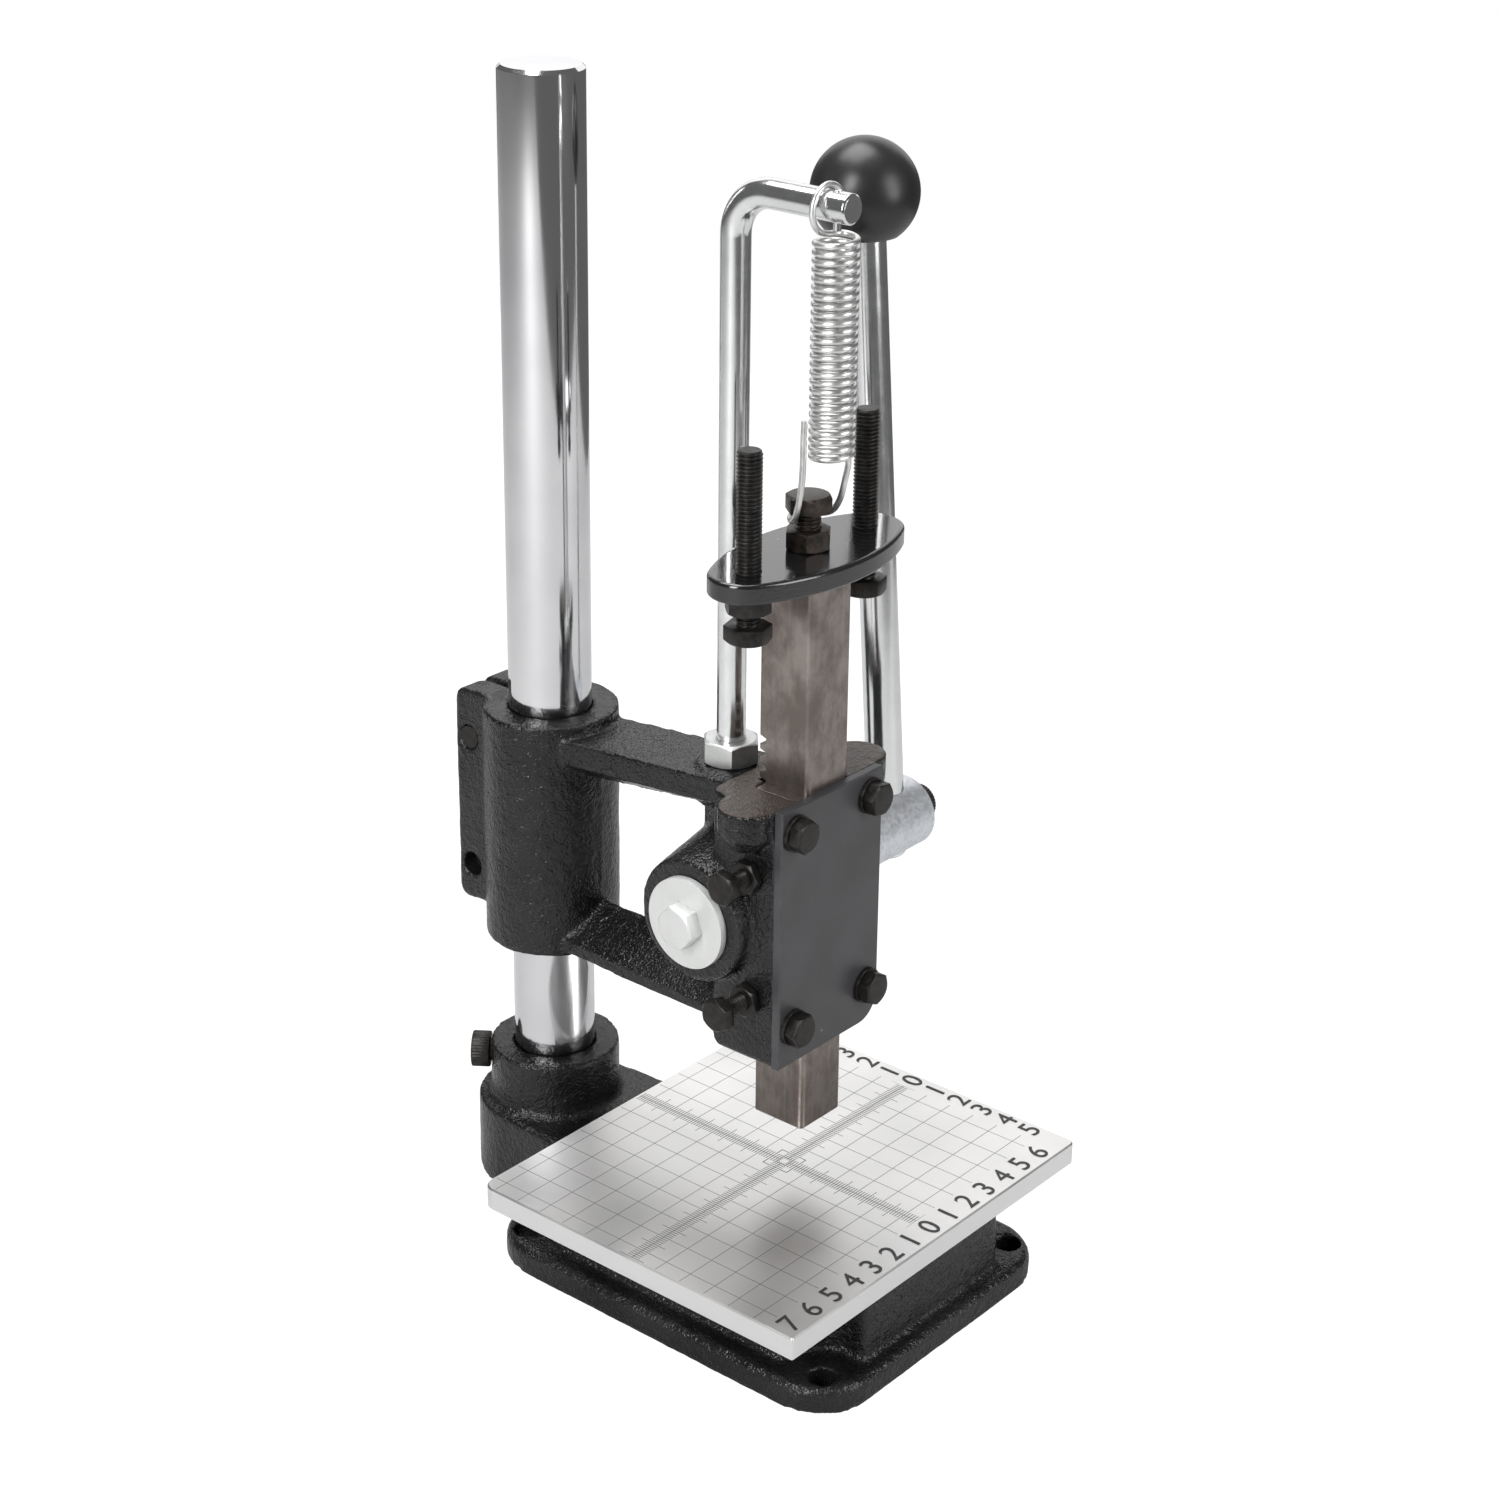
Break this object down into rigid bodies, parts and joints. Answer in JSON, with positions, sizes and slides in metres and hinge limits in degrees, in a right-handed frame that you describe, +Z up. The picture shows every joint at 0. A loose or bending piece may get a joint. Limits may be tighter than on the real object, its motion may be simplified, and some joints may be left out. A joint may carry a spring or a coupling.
{
  "type": "lever hole punch",
  "caption": "Bench press with a lever, rack and pinion, square ram, return spring and a graduated aluminium platen, on a round column.",
  "frame": {"origin": "centre of the foot's four-hole pattern, on the underside of the base", "axes": "+Z up along the column; -Y towards the user, ram side; +X to the lever's side"},
  "size_m": [0.166, 0.2075, 0.392],
  "materials": {
    "casting": "satin, sand-cast",
    "platen_alu": "satin, printed grid",
    "chrome_bar": "polished",
    "bright_steel": "drawn bright steel",
    "zinc": "bright zinc plated",
    "black_steel": "black oxide",
    "cover_black": "satin black",
    "cap_black": "glossy black lacquer",
    "spring_steel": "bright spring wire",
    "knob_black": "glossy black moulded ball"
  },
  "bodies": {
    "base": {"base_casting": "casting", "platen": "platen_alu", "platen_screws": "black_steel", "column_set_screw": "black_steel"},
    "column_bar": {"column": "chrome_bar"},
    "head": {"head_casting": "casting", "front_cover": "cover_black", "cover_bolts": "black_steel", "cover_washers": "black_steel", "gib": "bright_steel", "gib_bolts": "black_steel", "gib_lock_nuts": "black_steel", "clamp_bolts": "black_steel", "hook_rod": "zinc", "hook_rod_nut": "zinc", "hook_pin": "zinc", "return_spring": "spring_steel"},
    "lever": {"pinion_shaft": "zinc", "axle_washer": "zinc", "axle_bolt": "zinc", "lever_rod": "zinc", "lever_knob": "knob_black", "lever_lock_screw": "black_steel"},
    "ram_body": {"ram": "bright_steel", "tool_set_screw": "black_steel", "cap_plate": "cap_black", "cap_bolt": "black_steel", "cap_nut": "black_steel", "stop_bolts": "black_steel", "stop_nuts": "black_steel"}
  },
  "joints": [
    {"name": "head_swivel", "type": "hinge", "parent": "base", "child": "column_bar", "pos_m": [0, 0.098, 0.0495], "axis": [0, 0, 1], "continuous": true},
    {"name": "head_slide", "type": "slide", "parent": "column_bar", "child": "head", "axis": [0, 0, 1], "range_m": [0, 0.2]},
    {"name": "lever_hinge", "type": "hinge", "parent": "head", "child": "lever", "pos_m": [0, 0.008, 0.137], "axis": [1, 0, 0], "range_deg": [0, 109.5]},
    {"name": "ram_slide", "type": "slide", "parent": "head", "child": "ram_body", "axis": [0, 0, -1], "range_m": [0, 0.0216], "stiffness_N_per_m": 3200, "springref_m": -0.012, "deforming": ["return_spring"]}
  ],
  "couplings": [
    {"joint": "ram_slide", "follows": "lever_hinge", "m_per_rad": 0.01125}
  ]
}
